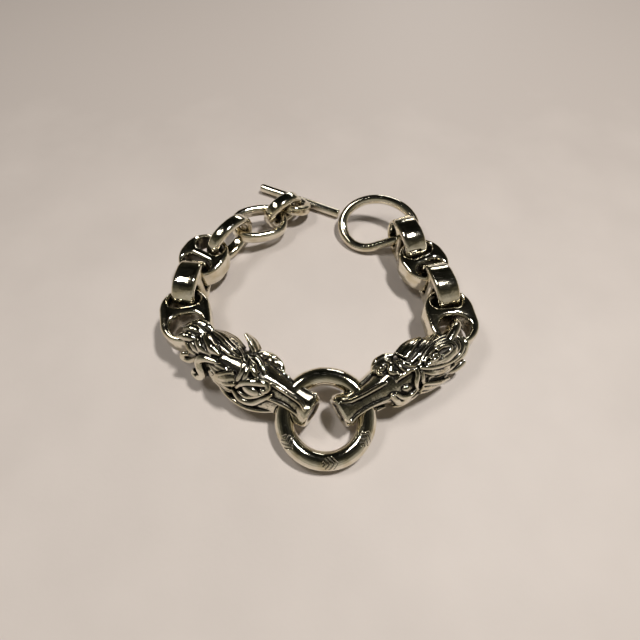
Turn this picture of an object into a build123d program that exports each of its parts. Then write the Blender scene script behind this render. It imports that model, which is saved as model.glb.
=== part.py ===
from build123d import *
import os
from math import acos, cos, radians, sin
import numpy as np

# Link bracelet of heavy cast silver, laid open on a table, in millimetres. Two cast horse heads bite one
# round ring like a bit. A chain of links runs from each neck: the left one ends in a toggle bar, the
# right one in a pear-shaped toggle loop. X runs along the table, Y away from the viewer, Z up.

# Ring
RING_RADIUS = 9.8        # middle of the wire
RING_WIRE = 4.5          # diameter of the wire
RING_TILT = 15.0         # its back is lifted by the two mouths, in degrees
RING_X = 1.3
RING_Y = -29.4

# Large links, each with two round-ended holes and a bridge between them
LARGE_LENGTH = 14.4
LARGE_WIDTH = 12.9
LARGE_THICK = 6.4
LARGE_END = 1.8          # wall at each end
LARGE_BRIDGE = 2.4
LARGE_SIDE = 2.4         # wall beside each hole
LARGE_BEVEL = 0.7        # between the flat faces and the outer side
LARGE_RIM = 0.3          # chamfer round the holes
FIRST_LEAD = 2.4         # how much longer the half next to a neck is

# Small links, plain ovals of boxy wire. The first one takes a large link's end, so it is wider
JOIN_LENGTH = 16.2
JOIN_WIDTH = 13.0
SMALL_LENGTH = 17.0
SMALL_WIDTH = 10.4
LAST_LENGTH = 13.0
LAST_WIDTH = 10.4
SMALL_THICK = 3.8
SMALL_WALL = 2.3
SMALL_ROUND = 0.95

# Toggle bar with a soldered eye
BAR_LENGTH = 27.8
BAR_WIRE = 2.7
BAR_ROUND = 0.5          # rounding of the bar's ends
BAR_PLACE = (-6.6, 43.9)
BAR_TURN = (-24.5, -0.2, -28.0)  # heading, pitch and roll; its eye leans up from the table
EYE_OUTER = 10.2
EYE_HOLE = 5.2
EYE_THICK = 3.0
EYE_ROUND = 0.9
EYE_SHIFT = 0.8          # the eye sits this far past the bar's middle
EYE_SOLDER = 0.8         # how deep the eye is let into the bar

# Toggle loop, a pear of round wire: a wide arc and a small one joined by straight sides
LOOP_ROUND = 7.6         # middle of the wire, wide arc
LOOP_TIP = 4.0           # middle of the wire, small arc
LOOP_SPAN = 10.0         # between the middles of the two arcs
LOOP_WIRE = 2.7
LOOP_PLACE = (14.4, 31.2)
LOOP_TURN = (-11.7, 9.4, 22.9)

# Horse heads, measured back from the muzzle and up from the bitten wire
HEAD_LENGTH = 33.0       # muzzle to the end of the neck
HEAD_HEIGHT = 13.0       # jowl to poll
HEAD_WIDTH = 14.0        # cheek to cheek
HEAD_NOSE = 7.0          # muzzle ahead of the wire
HEAD_ROLL = 11.0         # both heads lean towards the right of the table
FACET = 0.95             # size of the facets of the casting
CLEAR = 0.3              # gap to the ring and to the first link

# Upright loop of round wire behind each neck that takes the first link
LUG_HEIGHT = 12.2
LUG_WIRE = 2.4
LUG_HOLE = 5.0
LUG_LIFT = 0.5           # its middle above the bitten wire

# Where each head bites the ring and the way its neck points, in degrees round from the X axis, and how
# far its lug turns aside to meet the chain
MOUTHS = {
    # node: (bite, neck, lug, first link)
    "head_left": (153.0, 149.6, -14.0, "link_left_1"),
    "head_right": (27.0, 31.2, 26.0, "link_right_1"),
}

# Links from each neck outwards: the middle of each (its bridge, where it has one), then its heading, pitch
# and roll in degrees. A link without a height stands on the table
CHAIN = [
    # node, kind, x, y, z, heading, pitch, roll
    ("link_left_1", "first", -35.0, -2.3, 6.3, 103.1, -0.7, 2.6),
    ("link_left_2", "large", -34.9, 6.9, None, 81.6, 0.2, 89.6),
    ("link_left_3", "large", -32.5, 15.9, 6.5, 62.1, 1.7, 3.2),
    ("link_left_4", "join", -26.1, 23.3, None, 51.6, 0.3, 96.3),
    ("link_left_5", "small", -18.2, 30.4, 5.4, 21.1, -9.1, 11.5),
    ("link_left_6", "last", -11.4, 35.8, None, 42.2, 0.2, 98.8),
    ("link_right_1", "first", 33.5, -2.8, 6.5, 97.7, -0.5, 0.5),
    ("link_right_2", "large", 32.1, 6.0, None, 104.9, 0.0, 90.2),
    ("link_right_3", "large", 28.8, 14.4, 6.2, 115.9, 0.1, -0.2),
    ("link_right_4", "large", 25.1, 22.6, None, 108.1, -1.1, 88.6),
]

# Cross-sections of the head from the muzzle back, as shares of the head's length, height and width
FACE = [
    # back   top    bottom  half
    (0.000, 0.06, -0.08, 0.12),
    (0.025, 0.23, -0.22, 0.27),
    (0.090, 0.28, -0.29, 0.30),
    (0.170, 0.29, -0.32, 0.27),
    (0.270, 0.35, -0.35, 0.33),
    (0.370, 0.42, -0.42, 0.42),
    (0.470, 0.48, -0.47, 0.48),
    (0.570, 0.53, -0.46, 0.46),
    (0.720, 0.52, -0.43, 0.42),
    (0.880, 0.47, -0.40, 0.40),
    (0.970, 0.42, -0.37, 0.36),
    (1.000, 0.34, -0.30, 0.28),
]
FACE_PINCH = 0.34        # how much narrower the top of each section is
FACE_SQUARE = 2.6        # 2 is an oval section, more is squarer

CELL = [(i, j, k) for i in (0, 1) for j in (0, 1) for k in (0, 1)]

# Raised forms on both sides of the head: three points and two radii, in the same shares
SIDES = [
    # name            root               middle             tip                root r  tip r
    ("nostril", (0.035, 0.17, 0.12), (0.060, 0.19, 0.13), (0.090, 0.19, 0.11), 0.085, 0.06),
    ("face ridge", (0.10, 0.13, 0.25), (0.20, 0.14, 0.29), (0.33, 0.22, 0.38), 0.045, 0.06),
    ("jowl", (0.41, 0.33, -0.18), (0.46, 0.34, -0.16), (0.50, 0.32, -0.10), 0.19, 0.17),
    ("eye", (0.39, 0.36, 0.25), (0.41, 0.37, 0.25), (0.43, 0.36, 0.25), 0.11, 0.11),
    ("brow", (0.33, 0.30, 0.34), (0.41, 0.41, 0.43), (0.51, 0.40, 0.36), 0.065, 0.065),
    ("ear", (0.51, 0.26, 0.46), (0.62, 0.41, 0.52), (0.73, 0.50, 0.48), 0.13, 0.035),
    ("cheek lock", (0.56, 0.36, 0.26), (0.69, 0.45, 0.12), (0.82, 0.47, -0.08), 0.12, 0.04),
    ("throat lock", (0.60, 0.38, 0.02), (0.73, 0.45, -0.16), (0.86, 0.44, -0.30), 0.12, 0.05),
    ("low lock", (0.57, 0.34, -0.26), (0.68, 0.38, -0.34), (0.77, 0.36, -0.36), 0.11, 0.05),
    ("high lock", (0.72, 0.30, 0.40), (0.85, 0.40, 0.36), (0.99, 0.42, 0.30), 0.11, 0.04),
    ("crest lock", (0.80, 0.22, 0.48), (0.94, 0.30, 0.46), (1.09, 0.34, 0.37), 0.10, 0.04),
]

# Raised forms along the top
CREST = [
    ("forelock", (0.56, 0.00, 0.54), (0.46, 0.03, 0.52), (0.37, 0.01, 0.43), 0.10, 0.035),
    ("mane oval", (0.62, 0.08, 0.50), (0.74, 0.09, 0.52), (0.88, 0.07, 0.48), 0.13, 0.12),
    ("mane left", (0.58, 0.20, 0.46), (0.74, 0.27, 0.46), (0.92, 0.20, 0.44), 0.08, 0.06),
    ("mane right", (0.58, -0.08, 0.50), (0.76, -0.14, 0.50), (0.96, -0.10, 0.47), 0.09, 0.05),
    ("mane tail", (0.86, 0.04, 0.48), (0.98, 0.02, 0.47), (1.12, -0.02, 0.38), 0.10, 0.04),
]


def turned(x, y, z, heading, pitch=0.0, roll=0.0):
    """Place a piece that points along X: roll it, lift its front, then head it round."""
    return Pos(x, y, z) * Rot(0, 0, heading) * Rot(0, -pitch, 0) * Rot(roll, 0, 0)


def standing(piece):
    """Set a piece down on the table."""
    return piece.moved(Pos(0, 0, -piece.bounding_box().min.Z))


# Links

def large_link(lead=0.0):
    """Flat-faced link with bevelled sides and two slots, its bridge on the origin, lying flat along X.

    The lead lengthens its near half and the hole there.
    """
    outline = Pos(-lead / 2, 0, 0) * SlotOverall(LARGE_LENGTH + lead, LARGE_WIDTH)
    body = extrude(outline, LARGE_THICK / 2, both=True)
    rims = body.edges().group_by(Axis.Z)
    body = chamfer(rims[0] + rims[-1], LARGE_BEVEL)
    hole = (LARGE_LENGTH - 2 * LARGE_END - LARGE_BRIDGE) / 2
    for side, size in ((1, hole), (-1, hole + lead)):
        slot = extrude(SlotOverall(LARGE_WIDTH - 2 * LARGE_SIDE, size), LARGE_THICK, both=True)
        body -= Pos(side * (LARGE_BRIDGE + size) / 2, 0, 0) * Rot(0, 0, 90) * slot
    faces = body.faces().sort_by(Axis.Z)
    rims = [edge for face in (faces[0], faces[-1]) for wire in face.inner_wires() for edge in wire.edges()]
    return chamfer(rims, LARGE_RIM)


def small_link(length, width):
    """Oval link of boxy wire with rounded edges, lying flat along X."""
    ring = SlotOverall(length, width) - SlotOverall(length - 2 * SMALL_WALL, width - 2 * SMALL_WALL)
    body = extrude(ring, SMALL_THICK / 2, both=True)
    rims = body.edges().group_by(Axis.Z)
    return fillet(rims[0] + rims[-1], SMALL_ROUND)


def place_of_link(node):
    """Frame of a link: X along it, Z through its opening."""
    x, y, z, *turn = next(row[2:] for row in CHAIN if row[0] == node)
    return turned(x, y, z or 0, *turn)


def links():
    """Every link of both chains in its place."""
    kinds = {
        "first": large_link(FIRST_LEAD),
        "large": large_link(),
        "join": small_link(JOIN_LENGTH, JOIN_WIDTH),
        "small": small_link(SMALL_LENGTH, SMALL_WIDTH),
        "last": small_link(LAST_LENGTH, LAST_WIDTH),
    }
    chain = {}
    for node, kind, _, _, z, *_ in CHAIN:
        link = place_of_link(node) * kinds[kind]
        chain[node] = standing(link) if z is None else link
    return chain


# Ring

RING_HEIGHT = RING_RADIUS * sin(radians(RING_TILT)) + RING_WIRE / 2
RING_PLACE = Pos(RING_X, RING_Y, RING_HEIGHT) * Rot(RING_TILT, 0, 0)


def bite(angle):
    """Point on the wire's middle at this angle round the ring."""
    return (RING_PLACE * Pos(RING_RADIUS * cos(radians(angle)), RING_RADIUS * sin(radians(angle)), 0)).position


# Horse heads: a rounded form is worked out on a grid of points, where below zero is inside, and its
# skin is closed with small flat facets

def place_of_head(node):
    """Frame of a head: X from the neck to the muzzle, Z up, its origin on the bitten wire."""
    angle, neck, _, _ = MOUTHS[node]
    mouth = bite(angle)
    return turned(mouth.X, mouth.Y, mouth.Z, neck + 180, roll=-HEAD_ROLL)


def axes_of(place):
    """The three axes of a placed frame, one to a row."""
    return np.array([tuple(axis.direction) for axis in (place.x_axis, place.y_axis, place.z_axis)])


def seen_from(place, inner, points):
    """Points given in the inner frame, measured in the frame of the place."""
    world = points @ axes_of(inner) + np.array(tuple(inner.position))
    return (world - np.array(tuple(place.position))) @ axes_of(place).T


def blend(a, b, soft):
    """Union of two forms with a soft seam."""
    mix = np.maximum(soft - np.abs(a - b), 0) / soft
    return np.minimum(a, b) - mix * mix * soft / 4


def strand(points, stops, thick):
    """Bent, tapered lock of hair through its stops."""
    form = np.full(len(points), np.inf)
    steps = len(stops) - 1
    for i in range(steps):
        start, run = stops[i], stops[i + 1] - stops[i]
        along = np.clip((points - start) @ run / (run @ run), 0, 1)
        away = np.linalg.norm(points - start - along[:, None] * run, axis=1)
        share = (i + along) / steps
        form = np.minimum(form, away - thick[0] - (thick[1] - thick[0]) * share)
    return form


def curve(root, middle, tip, count=5):
    """Points along a bend from root to tip that passes near the middle."""
    t = np.linspace(0, 1, count)[:, None]
    return (1 - t) ** 2 * root + 2 * t * (1 - t) * middle + t ** 2 * tip


def head_spot(share):
    """A place on the head from its shares of length, width and height."""
    back, side, up = share
    return np.array([HEAD_NOSE - back * HEAD_LENGTH, side * HEAD_WIDTH, up * HEAD_HEIGHT])


def skull(points):
    """Muzzle, face and neck, from the table of sections."""
    rows = np.array(FACE)
    back = (HEAD_NOSE - points[:, 0]) / HEAD_LENGTH
    top, bottom, half = (np.interp(back, rows[:, 0], rows[:, k]) for k in (1, 2, 3))
    tall = (top - bottom) / 2 * HEAD_HEIGHT
    up = (points[:, 2] - (top + bottom) / 2 * HEAD_HEIGHT) / tall
    wide = half * HEAD_WIDTH * (1 - FACE_PINCH * np.clip((up + 1) / 2, 0, 1))
    across = points[:, 1] / wide
    round_form = (np.abs(across) ** FACE_SQUARE + np.abs(up) ** FACE_SQUARE) ** (1 / FACE_SQUARE) - 1
    ends = np.maximum(-back, back - 1) * HEAD_LENGTH
    return np.maximum(round_form * np.minimum(tall, wide), ends)


def locks(points):
    """Every raised form of the head and the mane."""
    form = np.full(len(points), np.inf)
    rows = [(row, (1, -1)) for row in SIDES] + [(row, (1,)) for row in CREST]
    for (name, root, middle, tip, root_thick, tip_thick), sides in rows:
        for side in sides:
            bend = curve(*(head_spot(spot) * (1, side, 1) for spot in (root, middle, tip)))
            thick = (root_thick * HEAD_HEIGHT, tip_thick * HEAD_HEIGHT)
            form = np.minimum(form, strand(points, bend, thick))
    return form


def lug(points, turn):
    """Upright loop of round wire behind the neck, turned aside by some degrees."""
    back, side = points[:, 0] - HEAD_NOSE + 0.9 * HEAD_LENGTH, points[:, 1]
    along = back * cos(radians(turn)) + side * sin(radians(turn))
    across = side * cos(radians(turn)) - back * sin(radians(turn))
    middle = (LUG_HEIGHT - LUG_WIRE) / 2
    arc = middle - 0.1 * HEAD_LENGTH - LUG_HOLE - LUG_WIRE / 2
    away = np.hypot(np.hypot(np.minimum(along - arc, 0), points[:, 2] - LUG_LIFT) - middle, across)
    return np.maximum(away - LUG_WIRE / 2, along)


def link_space(points, node, place):
    """The space that the first link fills, seen from the head."""
    spots = seen_from(place_of_link(node), place, points)
    straight = (LARGE_LENGTH + FIRST_LEAD - LARGE_WIDTH) / 2
    along = np.maximum(np.abs(spots[:, 0] + FIRST_LEAD / 2) - straight, 0)
    return np.maximum(np.hypot(along, spots[:, 1]) - LARGE_WIDTH / 2, np.abs(spots[:, 2]) - LARGE_THICK / 2)


def head_form(points, node):
    """The whole casting: below zero inside, above zero outside."""
    place = place_of_head(node)
    _, _, lug_turn, first_link = MOUTHS[node]
    ring = seen_from(RING_PLACE, place, points)
    wire = np.hypot(np.hypot(ring[:, 0], ring[:, 1]) - RING_RADIUS, ring[:, 2]) - RING_WIRE / 2
    form = blend(skull(points), locks(points), 0.04 * HEAD_HEIGHT)
    form = np.maximum(form, CLEAR - link_space(points, first_link, place))
    form = np.maximum(np.minimum(form, lug(points, lug_turn)), CLEAR - wire)
    table = seen_from(Pos(0, 0, 0), place, points)[:, 2]
    return np.maximum(form, -table)


def corner(grid, spot):
    """The grid's values at one corner of every cell."""
    return grid[tuple(slice(s, size - 1 + s) for s, size in zip(spot, grid.shape))]


def joined(mask, start):
    """The part of a mask that hangs together with a starting point."""
    found = np.zeros_like(mask)
    found[start] = True
    while True:
        grown = found.copy()
        for axis in range(3):
            for step in (1, -1):
                grown |= np.roll(found, step, axis)
        grown &= mask
        if (grown == found).all():
            return found
        found = grown


def settled(form, nudge):
    """Keep one solid without voids, and fill the spots where its skin would touch itself."""
    inside = joined(form < 0, np.unravel_index(np.argmin(form), form.shape))
    inside = ~joined(~inside, (0, 0, 0))
    while True:
        filled = inside.copy()
        for axis in range(3):
            spots = [tuple(np.insert(pair, axis, 0)) for pair in ((0, 0), (0, 1), (1, 1), (1, 0))]
            a, b, c, d = (corner(inside, spot) for spot in spots)
            touching = (a == c) & (b == d) & (a != b)
            for spot in spots:
                corner(filled, spot)[touching] = True
        for spot in CELL[:4]:
            other = tuple(1 - s for s in spot)
            alike = corner(inside, spot) == corner(inside, other)
            total = sum(corner(inside, s).astype(int) for s in CELL)
            touching = alike & np.where(corner(inside, spot), total == 2, total == 6)
            for s in CELL:
                corner(filled, s)[touching] = True
        if (filled == inside).all():
            break
        inside = filled
    return np.where(inside, np.minimum(form, -nudge), np.maximum(form, nudge))


def skin(form, low, cell):
    """Close the zero level of a grid with triangles, one point in each cell that it crosses."""
    inside = form < 0
    count = np.zeros(np.array(form.shape) - 1)
    total = np.zeros(count.shape + (3,))
    for spot in CELL:
        for axis in range(3):
            if spot[axis]:
                continue
            far = tuple(s + (a == axis) for a, s in enumerate(spot))
            near_form, far_form = corner(form, spot), corner(form, far)
            crossed = corner(inside, spot) != corner(inside, far)
            share = near_form / np.where(crossed, near_form - far_form, 1)
            count += crossed
            for a in range(3):
                total[..., a] += crossed * (spot[a] + (share if a == axis else 0))
    used = np.argwhere(count > 0)
    index = np.full(count.shape, -1)
    index[tuple(used.T)] = np.arange(len(used))
    points = low + cell * (used + total[tuple(used.T)] / count[tuple(used.T)][:, None])
    triangles = []
    for axis in range(3):
        step_b, step_c = np.eye(3, dtype=int)[(axis + 1) % 3], np.eye(3, dtype=int)[(axis + 2) % 3]
        here, there = np.moveaxis(inside, axis, 0)[:-1], np.moveaxis(inside, axis, 0)[1:]
        for spot in np.argwhere(np.moveaxis(here != there, 0, axis)):
            around = [spot, spot - step_b, spot - step_b - step_c, spot - step_c]
            quad = [index[tuple(cell_spot)] for cell_spot in around]
            if not inside[tuple(spot)]:
                quad.reverse()
            triangles += [(quad[0], quad[1], quad[2]), (quad[0], quad[2], quad[3])]
    return points, triangles


def head(node):
    """One cast head with its mane and its lug, closed by flat facets."""
    reach = HEAD_LENGTH + LUG_HOLE + LUG_WIRE
    low = np.array([HEAD_NOSE - reach - 2, -0.62 * HEAD_WIDTH, -0.62 * HEAD_HEIGHT])
    high = np.array([HEAD_NOSE + 1.5, 0.62 * HEAD_WIDTH, 0.75 * HEAD_HEIGHT])
    shape = tuple(np.ceil((high - low) / FACET).astype(int) + 1)
    grid = np.indices(shape).reshape(3, -1).T * FACET + low
    form = settled(head_form(grid, node).reshape(shape), 0.05 * FACET)
    points, triangles = skin(form, low, FACET)
    corners = [Vector(*point) for point in points]
    faces = [Face(Wire.make_polygon([corners[i] for i in triangle])) for triangle in triangles]
    return place_of_head(node) * Solid(Shell(faces))


# Toggle

def toggle_bar():
    """Round bar with a thick eye soldered to its near side."""
    bar = Rot(0, 90, 0) * Cylinder(BAR_WIRE / 2, BAR_LENGTH)
    bar = fillet(bar.edges().filter_by(GeomType.CIRCLE), BAR_ROUND)
    eye = extrude(Circle(EYE_OUTER / 2) - Circle(EYE_HOLE / 2), EYE_THICK / 2, both=True)
    eye = fillet(eye.edges().filter_by(GeomType.CIRCLE), EYE_ROUND)
    apart = (EYE_OUTER + BAR_WIRE) / 2 - EYE_SOLDER
    return bar + Pos(EYE_SHIFT, -apart, 0) * eye


def toggle_loop():
    """Pear-shaped ring of round wire with its tip along X."""
    lean = acos((LOOP_ROUND - LOOP_TIP) / LOOP_SPAN)
    wide = Vector(LOOP_ROUND * cos(lean), LOOP_ROUND * sin(lean), 0)
    tip = Vector(LOOP_SPAN + LOOP_TIP * cos(lean), LOOP_TIP * sin(lean), 0)
    wide_near, tip_near = Vector(wide.X, -wide.Y, 0), Vector(tip.X, -tip.Y, 0)
    with BuildLine() as path:
        ThreePointArc(wide, (-LOOP_ROUND, 0), wide_near)
        Line(wide_near, tip_near)
        ThreePointArc(tip_near, (LOOP_SPAN + LOOP_TIP, 0), tip)
        Line(tip, wide)
    wire = path.wires()[0]
    start = Plane(origin=wire.position_at(0), z_dir=wire.tangent_at(0))
    return sweep(start * Circle(LOOP_WIRE / 2), path=wire)


# The bracelet

def bracelet():
    nodes = {"ring": RING_PLACE * Torus(RING_RADIUS, RING_WIRE / 2)}
    for node in MOUTHS:
        nodes[node] = head(node)
    nodes.update(links())
    bar = turned(*BAR_PLACE, 0, *BAR_TURN) * toggle_bar()
    loop = turned(*LOOP_PLACE, 0, *LOOP_TURN) * toggle_loop()
    nodes["toggle_bar"] = standing(bar)
    nodes["toggle_loop"] = standing(loop)
    return nodes


def write(nodes):
    """Move the origin below the middle of the whole and write each piece."""
    os.makedirs("parts", exist_ok=True)
    box = Compound(list(nodes.values())).bounding_box()
    shift = Pos(-(box.min.X + box.max.X) / 2, -(box.min.Y + box.max.Y) / 2, -box.min.Z)
    for node, piece in nodes.items():
        export_step(piece.moved(shift), f"parts/{node}.step")


write(bracelet())
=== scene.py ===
# %% [markdown]
# # A heavy silver link bracelet, laid open
#
# Two cast horse heads bite one round ring, and a chain runs from each neck to a toggle clasp. The packed
# model says where each piece lies. This lesson gives every piece its real form and its polished, darkened
# silver, and lights it on a pale table.

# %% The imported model
from math import atan2, copysign, cos, pi, radians, sin

import bmesh
import bpy
import numpy as np
from mathutils import Matrix, Vector


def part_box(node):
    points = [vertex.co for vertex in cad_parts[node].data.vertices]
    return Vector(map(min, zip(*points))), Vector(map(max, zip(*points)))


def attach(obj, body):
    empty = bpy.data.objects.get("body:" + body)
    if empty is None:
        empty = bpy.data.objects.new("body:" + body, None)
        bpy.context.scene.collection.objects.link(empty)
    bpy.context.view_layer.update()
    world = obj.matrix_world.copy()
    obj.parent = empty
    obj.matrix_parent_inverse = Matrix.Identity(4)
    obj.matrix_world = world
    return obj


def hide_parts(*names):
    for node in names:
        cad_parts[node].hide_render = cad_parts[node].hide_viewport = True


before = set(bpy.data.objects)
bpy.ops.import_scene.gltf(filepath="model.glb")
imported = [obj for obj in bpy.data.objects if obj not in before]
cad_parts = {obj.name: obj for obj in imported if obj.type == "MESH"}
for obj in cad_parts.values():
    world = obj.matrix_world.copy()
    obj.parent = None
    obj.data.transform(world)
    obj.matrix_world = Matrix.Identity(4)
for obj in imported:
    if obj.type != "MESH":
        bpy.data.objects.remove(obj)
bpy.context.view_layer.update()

MM = 0.001
print("solids in the model:", len(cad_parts))

# %% [markdown]
# ## One place for everything
#
# The lengths here are in millimetres, with the numbers that the solids were made from. Their origin was
# moved below the middle of the whole bracelet, so one shift, read from the ring's own box, brings the
# numbers into the model's frame. A piece is made lying along X, then rolled, pitched and turned into place.

# %% The shift and the turn
RING_RADIUS, RING_WIRE, RING_TILT = 9.8, 4.5, 15.0
RING_X, RING_Y = 1.3, -29.4

ring_low, ring_high = (Vector(corner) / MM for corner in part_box("ring"))
ring_middle = (ring_low + ring_high) / 2
SHIFT = Vector((ring_middle.x - RING_X, ring_middle.y - RING_Y, 0))


def turned(x, y, z, heading, pitch=0.0, roll=0.0):
    """Place of a piece that points along X: roll it, lift its front, then head it round."""
    place = Matrix.Translation(Vector((x, y, z)) + SHIFT)
    place = place @ Matrix.Rotation(radians(heading), 4, "Z")
    return place @ Matrix.Rotation(radians(-pitch), 4, "Y") @ Matrix.Rotation(radians(roll), 4, "X")


print("shift in mm:", tuple(round(value, 3) for value in SHIFT))

# %% [markdown]
# ## Loops that grow
#
# Most of the silver is a loop: a ring, a link, the two ends of the clasp. Each could be a curve with a
# bevel, but a boxy wire needs its own section. So a circle of points is pulled into the outline, every
# point keeps its foot and its way outwards in two layers, and the loop is extruded round the wire's
# section, one point of the section after another.

# %% Loop tools
def fresh():
    """An empty mesh whose points remember their foot and their way outwards."""
    bm = bmesh.new()
    bm.verts.layers.float_vector.new("foot")
    bm.verts.layers.float_vector.new("way")
    return bm


def move(bm, x, y=0, z=0):
    """Move a whole mesh."""
    bmesh.ops.translate(bm, verts=bm.verts, vec=(x, y, z))


def outline(bm, radius, span, belly=0.0, count=160):
    """Loop of points round two equal circles that stand apart along X.

    A point lies where the outline faces its own way: on the circle that reaches further that way. A belly
    blends the two where they change over, which rounds the straight sides out.
    """
    foot, way = bm.verts.layers.float_vector["foot"], bm.verts.layers.float_vector["way"]
    loop = bmesh.ops.create_circle(bm, segments=count, radius=1)["verts"]
    bmesh.ops.rotate(bm, verts=loop, matrix=Matrix.Rotation(pi / count, 3, "Z"))
    for point in loop:
        out = point.co.copy()
        reach = radius + span * out.x
        half = (radius - reach) / 2
        blend = (half ** 2 + belly ** 2) ** 0.5
        point[way] = out
        point[foot] = out * ((radius + reach) / 2 + blend)
        if blend:
            point[foot] += Vector((-out.y, out.x, 0)) * (-span * out.y / 2 * (1 - half / blend))
    return list(bm.edges)


def extruded(bm, edges):
    """Extrude a loop: the new points, and the edges of the new rim."""
    made = bmesh.ops.extrude_edge_only(bm, edges=edges)["geom"]
    points = [item for item in made if isinstance(item, bmesh.types.BMVert)]
    return points, [item for item in made if isinstance(item, bmesh.types.BMEdge) and item.is_boundary]


def grown(bm, edges, out, up):
    """Extrude a loop and stand the new one some way outwards and up."""
    points, rim = extruded(bm, edges)
    stand(points, bm, out, up)
    return rim


def stand(points, bm, out, up):
    """Put each point some way outwards from its foot, and up."""
    foot, way = bm.verts.layers.float_vector["foot"], bm.verts.layers.float_vector["way"]
    for point in points:
        point.co = point[foot] + point[way] * out + Vector((0, 0, up))


def wired(bm, edges, section):
    """Close a wire of this section round a loop."""
    stand({point for edge in edges for point in edge.verts}, bm, *section[0])
    last = edges
    for out, up in section[1:]:
        last = grown(bm, last, out, up)
    bmesh.ops.bridge_loops(bm, edges=edges + last)
    bmesh.ops.recalc_face_normals(bm, faces=bm.faces)


def boxed(wide, tall, round_off, steps=5):
    """Section of a boxy wire: the four corners rounded off."""
    section = []
    for corner, (across, upward) in enumerate(((1, -1), (1, 1), (-1, 1), (-1, -1))):
        for step in range(steps + 1):
            turn = radians(90 * (corner - 1) + 90 * step / steps)
            section.append((
                across * (wide / 2 - round_off) + round_off * cos(turn),
                upward * (tall / 2 - round_off) + round_off * sin(turn),
            ))
    return section


def rounded(wire, steps=28):
    """Section of a round wire."""
    turns = [2 * pi * step / steps for step in range(steps)]
    return [(wire / 2 * cos(turn), wire / 2 * sin(turn)) for turn in turns]


print("points in a boxy section:", len(boxed(2.3, 3.8, 0.95)))

# %% [markdown]
# ## From a mesh to a piece
#
# A piece is placed in its mesh: its object stays at the origin, because a pattern on object coordinates
# would slide otherwise. Edges are softened or kept crisp by the angle across them, which on a polished
# metal decides whether a reflection runs on or breaks.

# %% Piece tools
def settle(bm, place, standing=False):
    """Turn a mesh in millimetres into its place in metres, set down on the table if it stands."""
    bmesh.ops.transform(bm, matrix=place, verts=bm.verts)
    if standing:
        lowest = min(point.co.z for point in bm.verts)
        move(bm, 0, 0, -lowest)
    for point in bm.verts:
        point.co.z = max(point.co.z, 0)
    bmesh.ops.scale(bm, vec=(MM, MM, MM), verts=bm.verts)


def thing_of(bm, name):
    """Object in the scene from a bmesh, which is freed."""
    mesh = bpy.data.meshes.new(name)
    bm.to_mesh(mesh)
    bm.free()
    thing = bpy.data.objects.new(name, mesh)
    bpy.context.collection.objects.link(thing)
    return thing


def discard(thing):
    """Remove an object and its mesh."""
    mesh = thing.data
    bpy.data.objects.remove(thing)
    bpy.data.meshes.remove(mesh)


def piece(name, bm, node, finish, place, standing=False, crisp=35):
    """One finished piece that stands for its node."""
    settle(bm, place, standing)
    thing = thing_of(bm, name)
    mesh = thing.data
    mesh.polygons.foreach_set("use_smooth", [True] * len(mesh.polygons))
    mesh.set_sharp_from_angle(angle=radians(crisp))
    mesh.materials.append(finish)
    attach(thing, "root")
    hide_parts(node)
    low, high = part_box(node)
    size = [round(value / MM, 1) for value in thing.dimensions]
    print(name, "faces", len(mesh.polygons), "size", size, "solid", [round(v / MM, 1) for v in high - low])
    return thing


def worked(bm, *steps):
    """Run modifiers on a mesh and give it back: each step is a kind and its settings."""
    subject = thing_of(bm, "work")
    for kind, settings in steps:
        modifier = subject.modifiers.new(kind, kind)
        for setting, value in settings.items():
            setattr(modifier, setting, value)
    graph = bpy.context.evaluated_depsgraph_get()
    result = bpy.data.meshes.new_from_object(subject.evaluated_get(graph))
    bm = bmesh.new()
    bm.from_mesh(result)
    bpy.data.meshes.remove(result)
    discard(subject)
    return bm


def cut(bm, tool, operation="DIFFERENCE"):
    """Cut a mesh with another one, or join the two."""
    helper = thing_of(tool, "tool")
    bm = worked(bm, ("BOOLEAN", {"operation": operation, "solver": "MANIFOLD", "object": helper}))
    discard(helper)
    return bm


def melted(bm, voxel, rounds):
    """One skin over everything in a mesh, made of voxels and smoothed in some rounds."""
    skin = {"mode": "VOXEL", "voxel_size": voxel}
    return worked(bm, ("REMESH", skin), ("SMOOTH", {"factor": 0.5, "iterations": rounds}))


# %% [markdown]
# ## Polished silver
#
# Silver this worn is bright but never perfect: a buffing wheel leaves faint waves, a wrist leaves hairline
# scratches, and a little warm tarnish stays where neither reaches. One metallic shader does it, with its
# roughness and bump from noise. Black oxide could be painted on, but it stays where no wheel reaches, so
# the shader finds it in the castings by an attribute called relief, which is below zero in a groove and
# above it on a ridge. Shade is painted in as black too: in the slots of the links and the hollows of the
# castings, by how little of the open each spot sees.

# %% Node tools
def shader(name):
    """A material with its nodes, links and shader."""
    material = bpy.data.materials.new(name)
    material.use_nodes = True
    tree = material.node_tree
    return material, tree, tree.nodes["Principled BSDF"]


def add(tree, kind, inputs=None, **settings):
    """Add a node, set it up and plug in its inputs."""
    node = tree.nodes.new(kind)
    for setting, value in settings.items():
        setattr(node, setting, value)
    for socket, value in (inputs or {}).items():
        if isinstance(value, bpy.types.NodeSocket):
            tree.links.new(value, node.inputs[socket])
        else:
            node.inputs[socket].default_value = value
    return node


def ramp(tree, value, *stops):
    """Colour ramp from pairs of a place and a colour."""
    node = add(tree, "ShaderNodeValToRGB", {"Fac": value})
    elements = node.color_ramp.elements
    while len(elements) < len(stops):
        elements.new(0.5)
    for element, (place, colour) in zip(elements, stops):
        element.position = place
        element.color = (*colour, 1)
    return node.outputs["Color"]


def remap(tree, value, low, high, to_low, to_high):
    """Bring a value from one range into another."""
    return add(tree, "ShaderNodeMapRange", {
        "Value": value, "From Min": low, "From Max": high, "To Min": to_low, "To Max": to_high,
    }).outputs["Result"]


def calculate(tree, operation, *values):
    """One sum in a material."""
    return add(tree, "ShaderNodeMath", dict(enumerate(values)), operation=operation).outputs[0]


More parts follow.
